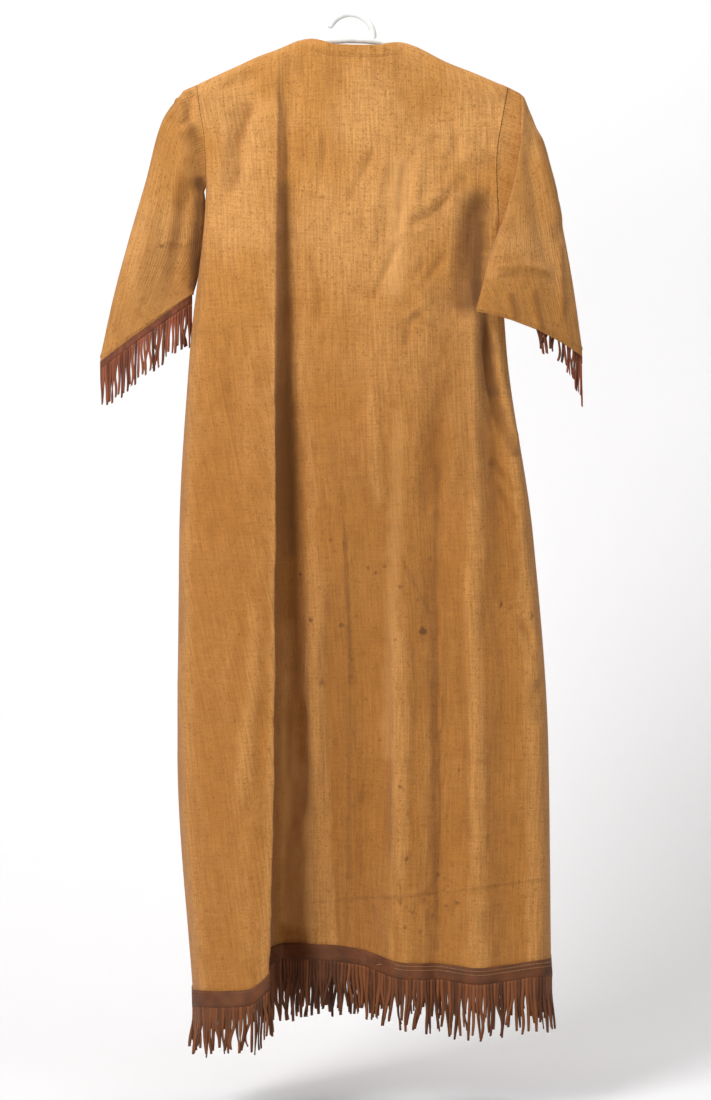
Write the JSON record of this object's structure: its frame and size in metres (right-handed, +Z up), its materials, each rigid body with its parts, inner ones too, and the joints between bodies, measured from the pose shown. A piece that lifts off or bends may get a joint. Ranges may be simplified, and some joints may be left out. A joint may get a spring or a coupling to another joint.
{
  "type": "native american dress on a hanger",
  "caption": "Long straight canvas dress with short wide sleeves and brown leather fringe at cuffs and hem, hung on a plain white hanger, seen from its back.",
  "frame": {"origin": "inside top of the hanger's hook, where it hangs", "axes": "+Z up, X along the shoulders, +Y from the back of the dress to its front"},
  "size_m": [0.5816, 0.1997, 1.2398],
  "materials": {
    "canvas": "coarse woven, matt",
    "leather": "suede, matt",
    "white_plastic": "smooth, semi-gloss"
  },
  "bodies": {
    "root": {"back_panel": "canvas", "front_panel": "canvas", "sleeve_left": "canvas", "sleeve_right": "canvas", "hem_fringe_back": "leather", "hem_fringe_front": "leather", "cuff_fringe_left": "leather", "cuff_fringe_right": "leather", "hanger": "white_plastic"}
  },
  "joints": []
}
